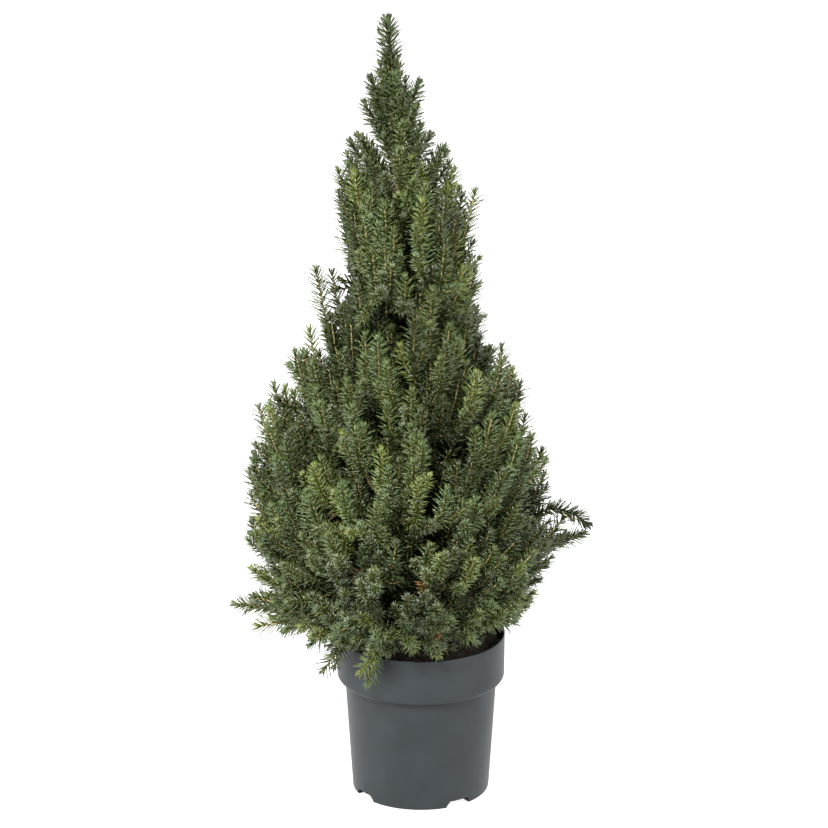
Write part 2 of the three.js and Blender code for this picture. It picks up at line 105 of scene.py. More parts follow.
TRUNK = {
    "x": -0.018,  # a little off the pot's centre
    "lean": -0.019,  # sideways, from the soil to the top
    "sway": 0.003,
    "tip": 0.748,
    "foot": 0.0095,  # radii at the soil and at the tip
    "end": 0.0024,
    "flare": 0.006,  # root flare, added to the foot's radius
    "flare_height": 0.014,
    "sunk": 0.006,  # reaches into the soil
    "short": 0.001,  # its bark ends under the tip
    "crowding": 1.15,  # of its rings towards the foot
    "rings": 170,
    "sides": 40,
}
TREE_TOP = 0.894

# The crown's outline: heights, and its radius round the stem at each.
OUTLINE_Z = [0.168, 0.215, 0.290, 0.380, 0.480, 0.570, 0.640, 0.705, 0.760, 0.805, 0.850, TREE_TOP]
OUTLINE_R = [0.110, 0.140, 0.164, 0.163, 0.130, 0.092, 0.073, 0.069, 0.042, 0.021, 0.013, 0.0]
LEAST_OUTLINE = 0.004  # keeps the levels gentle where the outline closes

# Bowl-shaped levels between the tiers of foliage: height at the outline, climb from the stem, curl.
LEVELS = np.array([
    [0.170, -0.036, 4.5],
    [0.262, 0.028, 2.2],
    [0.372, 0.082, 2.3],
    [0.485, 0.114, 2.3],
    [0.600, 0.120, 2.2],
    [0.745, 0.062, 1.7],
    [TREE_TOP, 0.044, 1.3],
])
LOWEST_SHARE = -0.5  # how far the lowest tier may hang below its level

# Skirt, lower, middle, upper and shoulder. turn is in sectors; entry: share of the way out where the
# bough enters its foliage; length: of the shoots' last stretch; lift: how upright it ends;
# needles: their size; shade: painted shade, how much darker the tier's greens are dealt out for how
# the light falls on it (less than 0: lighter).
TIERS = [
    {"sectors": 6, "turn": 0.5, "entry": 0.34, "shoots": 18, "length": 0.062, "lift": 0.05,
     "needles": 1.14, "shade": -0.2},
    {"sectors": 6, "turn": 0.0, "entry": 0.32, "shoots": 22, "length": 0.068, "lift": 0.35,
     "needles": 1.0, "shade": 0.3},
    {"sectors": 6, "turn": 0.35, "entry": 0.30, "shoots": 22, "length": 0.086, "lift": 0.6,
     "needles": 1.0, "shade": 0.2},
    {"sectors": 5, "turn": 0.1, "entry": 0.30, "shoots": 22, "length": 0.092, "lift": 0.65,
     "needles": 1.0, "shade": 0.2},
    {"sectors": 4, "turn": 0.62, "entry": 0.30, "shoots": 22, "length": 0.086, "lift": 0.7,
     "needles": 1.0, "shade": 0.12},
]

BOUGH = {
    "radius": 0.0037,
    "tip": 0.62,  # share of the radius that it ends with
    "collar": 1.25,  # and that it starts with
    "stoutness": (0.8, 1.15),  # from no reach up to the longest
    "longest": 0.165,
    "lowest": 0.30,  # shares of its mass's height that it runs at
    "highest": 0.54,
    "stagger": 0.45,  # from one sector to the next
    "root": 0.004,  # starts so far from the stem's axis
    "overlap": 0.002,  # runs into its foliage
    "rings": 16,
    "sides": 14,
}
STEM = {"radii": (0.0026, 0.0011), "reach": 0.66}  # a bough's run through its foliage
RELIEF = {
    "full": 0.006,  # radius from which a limb has all of it
    "octave": 2.7,  # how much finer the second noise is
    "second": 0.5,  # its share
    "trunk": {"depth": 0.0011, "fineness": 210},
    "bough": {"depth": 0.0006, "fineness": 320},
}

SPREAD = (0.7548776662, 0.569840291)  # steps across and up a mass from each shoot to the next
HEIGHTS = (0.04, 0.97)  # shares of the mass's height that shoots end at
TIP = (0.90, 1.05)  # how far out they end, as a share of the outline's radius
SHORTER = {"every": 3, "by": (0.2, 0.12)}  # what every third shoot has less of both
# The inner shoots fill the crown's inside and get the darkest greens, which is painted shade.
INNER = {"shoots": 11, "tip": (0.22, 0.62)}  # shaded shoots

# Hollows in the outline: azimuth in degrees, height, half height and depth, less than 0 for a swelling.
HOLLOWS = [
    (180, 0.660, 0.040, 0.024),
    (180, 0.562, 0.028, 0.024),
    (0, 0.556, 0.026, 0.013),
    (0, 0.372, 0.022, 0.012),
    (180, 0.482, 0.020, 0.026),
    (0, 0.714, 0.014, 0.007),
    (0, 0.195, 0.024, 0.024),
    (90, 0.310, 0.090, 0.008),
    (180, 0.420, 0.018, -0.006),
    (0, 0.750, 0.026, -0.014),
    (180, 0.755, 0.024, -0.008),
    (270, 0.180, 0.024, 0.022),
]

# Long shoots that break the outline: azimuth in degrees, height and distance of the tip, and the
# degrees by which it rises there.
STRAYS = [
    (-111, 0.167, 0.113, -50),
    (-140, 0.172, 0.116, -45),
    (181, 0.218, 0.187, 2),
    (187, 0.204, 0.162, -6),
    (172, 0.196, 0.150, -22),
    (178, 0.186, 0.132, -35),
    (192, 0.240, 0.168, 20),
    (-4, 0.321, 0.208, -38),
    (-3, 0.322, 0.178, 55),
    (5, 0.296, 0.203, 18),
    (11, 0.282, 0.182, 15),
    (183, 0.318, 0.166, 70),
    (2, 0.352, 0.160, 60),
    (178, 0.386, 0.163, 75),
    (4, 0.396, 0.158, 70),
    (3, 0.438, 0.138, 80),
    (2, 0.520, 0.112, 84),
    (4, 0.494, 0.122, 82),
    (0, 0.480, 0.132, 80),
    (178, 0.446, 0.158, 78),
    (181, 0.480, 0.138, 80),
    (184, 0.470, 0.118, 82),
    (183, 0.516, 0.116, 80),
    (181, 0.512, 0.104, 84),
    (-93, 0.345, 0.152, 75),
    (-88, 0.285, 0.160, 60),
    (179, 0.612, 0.092, 80),
    (2, 0.702, 0.084, 80),
]
STRAY = {
    "depth": 0.9,  # clad and coloured as one that ends no further out
    "reach": 1.3,  # how much longer its last stretch is
    "margin": 0.01,  # share of a tier's height kept from its levels
}

SHOOT_POINTS = 12
FINE_POINTS = 36  # of a main shoot's curve before it is spaced evenly
# A main shoot's course, from a fork on its mass's stem to its tip.
COURSE = {
    "first_fork": 0.004,  # out from the stem's foot
    "forks": 0.6,  # share of the stem they are spread over
    "last_fork": 0.7,  # share of the way out to the tip
    "across": 0.55,  # shares of the way to the tip that its middle is drawn towards
    "up": 0.6,
    "out": 0.5,
    "end_step": 0.004,  # its direction at the outline is taken over this length
    "length": (0.75, 1.2),
    "lift": (0.75, 1.15),
    "margin": 0.006,  # kept from the planes between masses
    "wobble": 0.006,
    "waves": 5.5,  # radians of the wobble from foot to tip
    "bare": 0.05,  # least share of it that has no needles
}
SIDE = {
    "length": 0.046,
    "lengths": (0.7, 1.2),
    "places": 0.45,  # they leave over this first share of the needle-clad stretch
    "angle": (35, 55),  # degrees
    "bend": 0.25,  # how much of its first direction it ends with
    "lift": 0.35,
    "size": 0.9,
}
OUTER = 0.88  # beyond this share of the outline's radius a shoot has two side shoots, not one
LONE = {"depth": 1.2, "size": 0.92}  # beyond this it has none, and is clad twice in smaller needles
CLEARANCE = {"side": 0.003, "over": 0.004}  # between shoots and the pot

LEADER = {
    "shoots": 84,
    "lowest": 0.690,  # heights of their tips
    "highest": 0.864,
    "crowding": 2.5,  # of the tips towards the lowest
    "rise": 0.052,  # from foot to tip
    "turn": 137.5,
    "start": 0.0015,  # distances from the stem's axis
    "closest": 0.006,
    "nearest": 0.2,  # least share of the way to the outline
    "outward": 0.6,  # the less, the more of them reach it
    "spring": 0.7,  # the less, the sooner they leave the stem
    "wobble": 0.005,
    "bare": 2,  # points of its course without needles
    "depth": 0.95,
    "size": 0.95,
    # painted shade: the leader's greens are dealt out darker, as a tier's are
    "shade": 0.2,
}
LEADING = {
    "foot": 0.0003,  # over the trunk's tip
    "top": 0.003,  # under the top of the tree
    "bare": 8,
    "roll": 0.3,  # of its twig's rings
    # coloured as a shoot that ends this far out, a darker green: painted shade against the strong light on
    # the top
    "depth": 0.88,
    "size": 1.1,
}
# Its side shoots that show in the outline: azimuth in degrees, height and distance of the tip.
LEADER_SIDE = [
    (6, 0.822, 0.028),
    (178, 0.826, 0.022),
    (150, 0.812, 0.024),
    (196, 0.802, 0.031),
    (330, 0.800, 0.028),
    (-8, 0.776, 0.028),
    (20, 0.758, 0.038),
    (186, 0.766, 0.038),
    (172, 0.752, 0.047),
    (4, 0.744, 0.053),
]

NEEDLE = {
    "length": 0.0145,
    "sizes": (0.78, 1.16),
    "width": 0.0015,
    "tip": 0.6,  # its end's share of the width
    "spacing": 0.00072,  # along the shoot, from one to the next
    "tuft": 12,  # needles at the very tip of a shoot
}
# How needles stand on a shoot, with leans in degrees from its direction.
BRUSH = {
    "lean": 51,
    "tip_lean": 26,
    "lean_play": 14,
    "place_play": 0.3,  # in steps from one needle to the next
    "turn_play": 0.35,  # in radians round the shoot
    "rise": 0.16,  # how far needles on a level shoot turn up
    "last": 0.998,  # share of the length at which the tuft takes over
    "closing": 0.013,  # length over which they close up towards the tip
    "tip_size": 0.64,
    "foot_size": 0.8,
    "foot_share": 0.2,  # they reach full size over this share
    "tuft_length": 0.003,
    "tuft_spread": (0.02, 1.0),
}
# Fewer and thicker needles inside the crown, between two shares of the way out.
COARSE = {"deepest": 0.60, "outermost": 0.92, "spacing": 2.5, "width": 1.9}
# Radii at the foot and the tip of each kind of twig.
TWIG = {
    "main": (0.0015, 0.0010),
    "side": (0.0010, 0.0008),
    "leading": (0.0024, 0.0007),
    "leader": (0.0010, 0.0005),
}
TWIG_POINTS = 5
TWIG_SIDES = 3
GOLDEN_ANGLE = math.radians(137.508)
ASLANT = [0.31, 0.17, 0.94]  # a direction that hardly any shoot takes
PIECE_LIMIT = 190_000  # triangles in one joined mesh
HALVINGS = 24  # in the search for a height's share of a tier
TINY = 1e-12  # in place of nought in a division

SEED = 20147
# Whole numbers that tell chance events apart, the first four as in the CAD source.
EVENT = {
    "across": 1, "up": 2, "tip": 3, "fork": 4, "lift": 5, "length": 6, "bend_phase": 11, "bend_size": 12,
    "side_place": 21, "side_angle": 22, "side_roll": 23, "side_length": 24,
    "leader_reach": 31, "tint": 41, "green": 42,
}
# A shoot's number settles its needles and its green.
NUMBER = {
    "tier": 16,  # steps from one tier, mass or main shoot to the next
    "mass": 100,
    "main": 4,
    "side": 50000,  # first numbers of side shoots, second coats and the leader's shoots
    "second": 70000,
    "leading": (7, 8, 9),
    "leader": 9000,
    "leader_second": 9500,
}

# Lightness stands partly for the needles' own age, old and dark inside and fresh outside, and partly for
# painted shade deep in the crown and painted light on the outermost shoots.
LIGHTNESS = {"start": 0.7, "span": 0.35, "luck": 0.9}  # of a shoot, by how far out it ends and by luck
NEEDLE_LIGHT = {"deep": 0.2, "shade": 0.5, "mid": 0.8}  # up to which it gets each of the darker greens
BLUE_SHARE = 0.5  # of the lightest shoots
DRY = {"tiers": 2, "depth": 0.86, "luck": 0.955}  # dead shoots: low in the crown, inside, and seldom

FLOOR = {"half_side": 30.0, "color": (0.25, 0.25, 0.25, 1), "glow": 0.88, "roughness": 0.9}
WORLD_LIGHT = 0.62
WHITE = (1, 1, 1, 1)
# Soft boxes: place, the point they face, width and height, and power in watts.
LIGHTS = {
    "left_softbox": ((-2.2, -1.5, 1.0), (0, 0, 0.4), (1.6, 2.4), 122),
    "right_softbox": ((2.2, -1.5, 1.0), (0, 0, 0.4), (1.6, 2.4), 104),
    "key_softbox": ((-1.0, -2.8, 3.2), (0, 0, 0.45), (1.0, 1.0), 385),
    "back_softbox": ((1.0, 2.8, 3.2), (0, 0, 0.45), (1.2, 1.2), 190),
}
CAMERA = {
    "place": (-0.0077, -4.5, 1.952),
    "down": 18.51,  # degrees
    "focal": 4273,  # in pixels of the frame's width
    "frame": 828,
    "sensor": 36,
    "far": 60,
}


# ---- small tools

def chance(*keys):
    """A repeatable number from 0 to 1 for some whole-number keys, as in the CAD source."""
    h = SEED
    for key in keys:
        h = ((h ^ key) * 0x9E3779B1) & 0xFFFFFFFF
        h ^= h >> 15
        h = (h * 0x85EBCA6B) & 0xFFFFFFFF
        h ^= h >> 13
    return h / 2**32


def lerp(low, high, share):
    return low + (high - low) * share


def smoothstep(value, low, high):
    share = np.clip((value - low) / (high - low), 0, 1)
    return share * share * (3 - 2 * share)


def unit(vectors):
    return vectors / np.maximum(np.linalg.norm(vectors, axis=-1, keepdims=True), TINY)


def turned(x, y, angle):
    return x * math.cos(angle) - y * math.sin(angle), x * math.sin(angle) + y * math.cos(angle)


def new_mesh(name, vertices, faces, material, smooth=True):
    """A mesh object; faces is a list of arrays that hold 3 or 4 corners a row."""
    mesh = bpy.data.meshes.new(name)
    mesh.vertices.add(len(vertices))
    mesh.vertices.foreach_set("co", np.asarray(vertices, np.float32).ravel())
    corners = np.concatenate([np.asarray(rows).ravel() for rows in faces]).astype(np.int32)
    totals = np.concatenate([np.full(len(rows), np.shape(rows)[1]) for rows in faces]).astype(np.int32)
    mesh.loops.add(len(corners))
    mesh.loops.foreach_set("vertex_index", corners)
    mesh.polygons.add(len(totals))
    mesh.polygons.foreach_set("loop_start", np.concatenate([[0], np.cumsum(totals)[:-1]]).astype(np.int32))
    mesh.polygons.foreach_set("loop_total", totals)
    mesh.update(calc_edges=True)
    if smooth:
        mesh.shade_smooth()
    mesh.materials.append(material)
    return new_object(name, mesh)


def new_object(name, data):
    thing = bpy.data.objects.new(name, data)
    bpy.context.scene.collection.objects.link(thing)
    return thing


def put(piece, slot, *nodes):
    """Rides a piece on the plant's one body. It may stand for CAD nodes."""
    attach(piece, "root")
    if nodes:
        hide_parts(*nodes)


def nodes_named(start):
    return sorted(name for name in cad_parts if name.startswith(start))


def skin(rings, sides):
    """Faces over rings of points numbered in turn; the next two points are the middles of the ends."""
    here = np.arange(rings - 1)[:, None] * sides + np.arange(sides)
    beside = np.arange(rings - 1)[:, None] * sides + (np.arange(sides) + 1) % sides
    walls = np.stack([here, beside, beside + sides, here + sides], axis=-1).reshape(-1, 4)
    first = np.arange(sides)
    second = (first + 1) % sides
    last = (rings - 1) * sides
    foot = np.stack([np.full(sides, rings * sides), second, first], axis=-1)
    tip = np.stack([np.full(sides, rings * sides + 1), last + first, last + second], axis=-1)
    return walls, np.concatenate([foot, tip])


def tubes(paths, radii, sides, sideways):
    """Vertices and faces of closed tubes along paths of equal point counts, shape (tubes, points, 3)."""
    count, points = paths.shape[:2]
    along = unit(np.gradient(paths, axis=1))
    across = unit(np.cross(along, sideways[:, None, :]))
    over = np.cross(along, across)
    turn = np.arange(sides) * 2 * math.pi / sides
    ring = across[:, :, None] * np.cos(turn)[:, None] + over[:, :, None] * np.sin(turn)[:, None]
    rings = paths[:, :, None] + ring * radii[:, :, None, None]
    ends = np.stack([paths[:, 0], paths[:, -1] + along[:, -1] * radii[:, -1:]], axis=1)
    vertices = np.concatenate([rings.reshape(count, -1, 3), ends], axis=1)
    start = (np.arange(count) * vertices.shape[1])[:, None, None]
    faces = [(rows[None] + start).reshape(-1, rows.shape[1]) for rows in skin(points, sides)]
    return vertices.reshape(-1, 3), faces


def level_sideways(azimuths):
    """Level directions square to some azimuths."""
    azimuths = np.array(azimuths)
    return np.stack([-np.sin(azimuths), np.cos(azimuths), 0 * azimuths], axis=-1)


def lathe(profile, segments):
    """Vertices and faces of a profile turned round Z; its first and last points lie on the axis."""
    turn = np.arange(segments) * 2 * math.pi / segments
    ring = np.array(profile[1:-1])
    rings = np.stack([
        ring[:, None, 0] * np.cos(turn),
        ring[:, None, 0] * np.sin(turn),
        np.broadcast_to(ring[:, None, 1], (len(ring), segments)),
    ], axis=-1).reshape(-1, 3)
    vertices = np.concatenate([rings, [[0, 0, profile[0][1]], [0, 0, profile[-1][1]]]])
    return vertices, skin(len(ring), segments)


# ---- the crown's shape

def axis_at(z):
    """Where the stem's axis is at a height, as x and y."""
    share = (np.asarray(z) - SOIL_TOP) / (TREE_TOP - SOIL_TOP)
    sway = TRUNK["sway"] * np.sin(2 * np.pi * share)
    return TRUNK["x"] + TRUNK["lean"] * share * np.abs(share) - sway, sway


def outline_radius(z):
    return np.interp(z, OUTLINE_Z, OUTLINE_R)


def outline_at(azimuth, z):
    """The outline's radius with its hollows and swellings."""
    radius = float(outline_radius(z))
    for middle, height, half, depth in HOLLOWS:
        facing = max(math.cos(azimuth - math.radians(middle)), 0)
        radius -= depth * facing**2 * math.exp(-(((z - height) / half) ** 2))
    return radius


def level_in(tier, v):
    """Height, climb and curl of the level a share v of the way up a tier."""
    v = np.asarray(v)[..., None]
    levels = lerp(LEVELS[tier], LEVELS[tier + 1], v)
    return levels[..., 0], levels[..., 1], levels[..., 2]


def level_height(level, r):
    z, climb, curl = level
    return z - climb * (1 - (np.maximum(r, 0) / np.maximum(outline_radius(z), LEAST_OUTLINE)) ** curl)


def crown_point(mass, u, v, r):
    """Points of the crown: u from -1 to 1 across the mass, v from 0 to 1 up it, r from the stem."""
    z = level_height(level_in(mass["tier"], v), r)
    azimuth = mass["azimuth"] + u * mass["half"]
    x, y = axis_at(z)
    return np.stack([x + r * np.cos(azimuth), y + r * np.sin(azimuth), z], axis=-1)


def along_stem(mass, start, end, points):
    """The line of a mass's bough, between two distances from the trunk's axis."""
    r = np.linspace(start, end, points)
    return crown_point(mass, np.zeros(points), np.full(points, mass["height"]), r)


def height_share(tier, z, r):
    """How far up a tier a height is at a distance from the stem, found by halving."""
    low, high = LOWEST_SHARE, 1.0
    for _ in range(HALVINGS):
        middle = (low + high) / 2
        if level_height(level_in(tier, middle), r) < z:
            low = middle
        else:
            high = middle
    return (low + high) / 2


def mass_of(tier, sector):
    """A mass's space, and the share of its height that its bough runs at."""
    kind = TIERS[tier]
    height = lerp(BOUGH["lowest"], BOUGH["highest"], (sector * BOUGH["stagger"]) % 1)
    reach = float(outline_radius(level_in(tier, height)[0]))
    return {
        "tier": tier,
        "id": tier * NUMBER["tier"] + sector,
        "azimuth": 2 * math.pi * (sector + kind["turn"]) / kind["sectors"],
        "half": math.pi / kind["sectors"],
        "height": height,
        "reach": reach,
        "entry": reach * kind["entry"],
    }


def all_masses():
    return [mass_of(tier, sector) for tier, kind in enumerate(TIERS) for sector in range(kind["sectors"])]


# ---- growth

UP = np.array([0.0, 0.0, 1.0])


def stray_shoots(mass):
    """The long shoots that end in or beside this mass's space, past the outline."""
    lowest = LOWEST_SHARE if mass["tier"] == 0 else 0
    found = []
    for azimuth, z, radius, rise in STRAYS:
        turn = math.radians(azimuth) - mass["azimuth"]
        u = math.atan2(math.sin(turn), math.cos(turn)) / mass["half"]
        v = height_share(mass["tier"], z, radius)
        if abs(u) < 1 and lowest + STRAY["margin"] < v < 1 - STRAY["margin"]:
            found.append((u, v, radius, rise))
    return found


def even_shoots(mass):
    """The source's even sequence of shoots, carried on to more, then to shaded inner ones."""
    shoots = TIERS[mass["tier"]]["shoots"]
    found = []
    for i in range(shoots + INNER["shoots"]):
        u = 2 * ((chance(mass["id"], EVENT["across"]) + i * SPREAD[0]) % 1) - 1
        v = lerp(*HEIGHTS, (chance(mass["id"], EVENT["up"]) + i * SPREAD[1]) % 1)
        outline = outline_at(mass["azimuth"] + u * mass["half"], float(level_in(mass["tier"], v)[0]))
        low, high = TIP if i < shoots else INNER["tip"]
        if i < shoots and i % SHORTER["every"] == SHORTER["every"] - 1:
            low, high = low - SHORTER["by"][0], high - SHORTER["by"][1]
        found.append((u, v, outline * lerp(low, high, chance(mass["id"], i, EVENT["tip"])), None))
    return found


def wobble(path, number, amount):
    """A shoot's slight bends, nought at its foot."""
    share = np.linspace(0, 1, len(path))
    bend = np.zeros_like(path)
    for side in range(3):
        phase = 2 * math.pi * chance(number, side, EVENT["bend_phase"])
        size = amount * (chance(number, side, EVENT["bend_size"]) - 0.5)
        bend[:, side] = size * share * np.sin(phase + COURSE["waves"] * share)
    return path + bend


def bezier(points, count):
    """A smooth curve from the first of four points to the last."""
    t = np.linspace(0, 1, count)[:, None]
    first, second, third, fourth = points
    return (1 - t) ** 3 * first + 3 * (1 - t) ** 2 * t * second + 3 * (1 - t) * t * t * third + t**3 * fourth


def main_path(mass, u, v, tip, rise, key):
    """From a fork on the mass's stem out and up to the shoot's tip."""
    kind = TIERS[mass["tier"]]
    place = COURSE["forks"] * chance(mass["id"], key, EVENT["fork"])
    fork = lerp(mass["entry"] + COURSE["first_fork"], mass["reach"] * STEM["reach"], place)
    fork = min(fork, COURSE["last_fork"] * tip)
    foot = crown_point(mass, 0.0, mass["height"], fork)
    up, out = lerp(mass["height"], v, COURSE["up"]), lerp(fork, tip, COURSE["out"])
    way = crown_point(mass, COURSE["across"] * u, up, out)
    end = crown_point(mass, u, v, tip)
    length = kind["length"] * lerp(*COURSE["length"], chance(mass["id"], key, EVENT["length"]))
    if rise is None:
        outward = unit(end - crown_point(mass, u, v, tip - COURSE["end_step"]))
        lift = kind["lift"] * lerp(*COURSE["lift"], chance(mass["id"], key, EVENT["lift"]))
        heading = unit(lerp(outward, UP, lift))
    else:
        length *= STRAY["reach"]
        heading = direction_of(mass["azimuth"] + u * mass["half"], math.radians(rise))
    return bezier((foot, way, end - length * heading, end), FINE_POINTS), length


def direction_of(azimuth, rise):
    level = math.cos(rise)
    return np.array([math.cos(azimuth) * level, math.sin(azimuth) * level, math.sin(rise)])


def path_length(path):
    return float(np.linalg.norm(np.diff(path, axis=0), axis=1).sum())


def way_along(path):
    """How far along a path each of its points lies."""
    steps = np.linalg.norm(np.diff(path, axis=0), axis=1)
    return np.concatenate([[0], np.cumsum(steps)])


def read_at(at, way, values):
    """Rows of values, given along a way, read at other places on it."""
    return np.stack([np.interp(at, way, values[:, side]) for side in range(3)], axis=-1)


def resampled(path, count, first=0.0):
    """The path from a share of its length to its end, as evenly spaced points."""
    way = way_along(path)
    return read_at(np.linspace(first * way[-1], way[-1], count), way, path)


def side_path(path, share, angle, roll, length):
    """A side shoot that leaves a path at a share of its way and bends up beside it."""
    at = int(share * (len(path) - 1))
    along = unit(path[min(at + 1, len(path) - 1)] - path[max(at - 1, 0)])
    across = unit(np.cross(along, ASLANT))
    over = np.cross(along, across)
    out = across * math.cos(roll) + over * math.sin(roll)
    away = along * math.cos(angle) + out * math.sin(angle)
    bent = unit(along + away * SIDE["bend"] + SIDE["lift"] * UP)
    foot = path[at]
    steps = (0 * away, away, away + bent, away + 2 * bent)
    return bezier([foot + step * length / 3 for step in steps], SHOOT_POINTS)


def clear_of_pot(path):
    """Whether a path keeps out of the pot's wall and the soil."""
    from_axis = np.hypot(path[:, 0], path[:, 1])
    over = from_axis < POT["rim"] + CLEARANCE["side"]
    return not np.any(over & (path[:, 2] < POT["height"] + CLEARANCE["over"]))


def side_count(depth):
    """How many side shoots a main shoot has, by how far out it ends."""
    if depth > LONE["depth"]:
        return 0
    return 2 if depth > OUTER else 1


def grow_mass(mass, twigs, shoots):
    """Adds a mass's twigs and needle-clad shoots to the two lists."""
    stem = along_stem(mass, mass["entry"], mass["reach"] * STEM["reach"], SHOOT_POINTS)
    twigs.append({"path": stem, "radius": STEM["radii"], "azimuth": mass["azimuth"]})
    for key, (u, v, tip, rise) in enumerate(stray_shoots(mass) + even_shoots(mass)):
        width = 1 - COURSE["margin"] / (tip * math.sin(mass["half"]))
        number = mass["id"] * NUMBER["mass"] + key
        path, length = main_path(mass, float(np.clip(u, -width, width)), v, tip, rise, key)
        path = wobble(path, number, COURSE["wobble"])
        if clear_of_pot(path):
            depth = tip / float(outline_radius(level_in(mass["tier"], v)[0]))
            sides = side_count(depth)
            if rise is not None:
                depth = min(depth, STRAY["depth"])
            add_shoot(twigs, shoots, path, length, mass, number, depth, sides)


def add_shoot(twigs, shoots, path, length, mass, number, depth, sides):
    """A main shoot with its side shoots."""
    azimuth = mass["azimuth"]
    twigs.append({"path": resampled(path, SHOOT_POINTS), "radius": TWIG["main"], "azimuth": azimuth})
    clad = resampled(path, SHOOT_POINTS, max(1 - length / path_length(path), COURSE["bare"]))
    facts = {"number": number, "depth": depth, "tier": mass["tier"]}
    size = TIERS[mass["tier"]]["needles"]
    size *= LONE["size"] if sides == 0 else 1.0
    shoots.append({**facts, "path": clad, "size": size})
    if sides == 0:
        shoots.append({**facts, "path": clad, "size": size, "number": number + NUMBER["second"]})
    for side in range(sides):
        place = (side + chance(number, side, EVENT["side_place"])) / sides
        angle = math.radians(lerp(*SIDE["angle"], chance(number, side, EVENT["side_angle"])))
        roll = side * math.pi + 2 * math.pi * chance(number, EVENT["side_roll"])
        reach = SIDE["length"] * lerp(*SIDE["lengths"], chance(number, side, EVENT["side_length"]))
        lateral = side_path(clad, SIDE["places"] * place, angle, roll, reach)
        if clear_of_pot(lateral):
            twigs.append({"path": lateral, "radius": TWIG["side"], "azimuth": azimuth})
            facts["number"] = number * NUMBER["main"] + side + NUMBER["side"]
            shoots.append({**facts, "path": lateral, "size": SIDE["size"] * size})


def beside_stem(z, azimuth, reach):
    """Points at some heights and distances from the stem's axis, to one side."""
    x, y = axis_at(z)
    return np.stack([x + math.cos(azimuth) * reach, y + math.sin(azimuth) * reach, z], axis=-1)


def grow_leading_shoot(twigs, shoots):
    """The one that ends at the top of the tree, clad more than once."""
    z = np.linspace(TRUNK["tip"] + LEADING["foot"], TREE_TOP - LEADING["top"], FINE_POINTS)
    path = beside_stem(z, 0.0, np.zeros(len(z)))
    twig = resampled(path, SHOOT_POINTS)
    twigs.append({"path": twig, "radius": TWIG["leading"], "azimuth": LEADING["roll"]})
    facts = {"depth": LEADING["depth"], "tier": len(TIERS), "size": LEADING["size"]}
    for number in NUMBER["leading"]:
        shoots.append({**facts, "path": path[LEADING["bare"]:], "number": number})


def leader_tips():
    """Azimuth, height and distance of the tip of each side shoot of the leader."""
    tips = list(LEADER_SIDE)
    for i in range(LEADER["shoots"]):
        azimuth = LEADER["turn"] * i
        top = lerp(LEADER["lowest"], LEADER["highest"], (i / LEADER["shoots"]) ** LEADER["crowding"])
        share = lerp(LEADER["nearest"], 1.0, chance(i, EVENT["leader_reach"]) ** LEADER["outward"])
        reach = outline_at(math.radians(azimuth), top) * share
        tips.append((azimuth, top, max(reach, LEADER["closest"])))
    return tips


def grow_leader(twigs, shoots):
    """The top of the tree: the leading shoot, and side shoots that rise beside it."""
    grow_leading_shoot(twigs, shoots)
    facts = {"depth": LEADER["depth"], "tier": len(TIERS), "size": LEADER["size"]}
    along = np.linspace(0, 1, SHOOT_POINTS)
    for i, (azimuth, top, reach) in enumerate(leader_tips()):
        azimuth = math.radians(azimuth)
        z = lerp(top - LEADER["rise"], top, along)
        path = beside_stem(z, azimuth, lerp(LEADER["start"], reach, along ** LEADER["spring"]))
        path = wobble(path, NUMBER["leader"] + i, LEADER["wobble"])
        twigs.append({"path": path, "radius": TWIG["leader"], "azimuth": azimuth})
        coats = ["leader", "leader_second"] if i < len(LEADER_SIDE) else ["leader"]
        for coat in coats:
            shoots.append({**facts, "path": path[LEADER["bare"]:], "number": NUMBER[coat] + i})


def grow_crown():
    twigs, shoots = [], []
    for mass in all_masses():
        grow_mass(mass, twigs, shoots)
    grow_leader(twigs, shoots)
    return twigs, shoots


# ---- needles

# A needle's foot has three corners round its middle, and its end has two, one over the other.
FOOT_TURNS = (math.pi / 2, math.pi * 7 / 6, math.pi * 11 / 6)
WEDGE = np.array([[0, 2, 1], [0, 1, 3], [1, 4, 3], [1, 2, 4], [2, 3, 4], [2, 0, 3]])
WEDGE_CORNERS = 5


def coarseness(shoot):
    """From 0 at the crown's outline to 1 deep inside it."""
    return 1 - float(smoothstep(shoot["depth"], COARSE["deepest"], COARSE["outermost"]))


def needle_count(shoot):
    spacing = NEEDLE["spacing"] * lerp(1, COARSE["spacing"], coarseness(shoot))
    return int(path_length(shoot["path"]) / spacing) + NEEDLE["tuft"]


def play(rng, amount, count):
    return rng.uniform(-amount, amount, count)


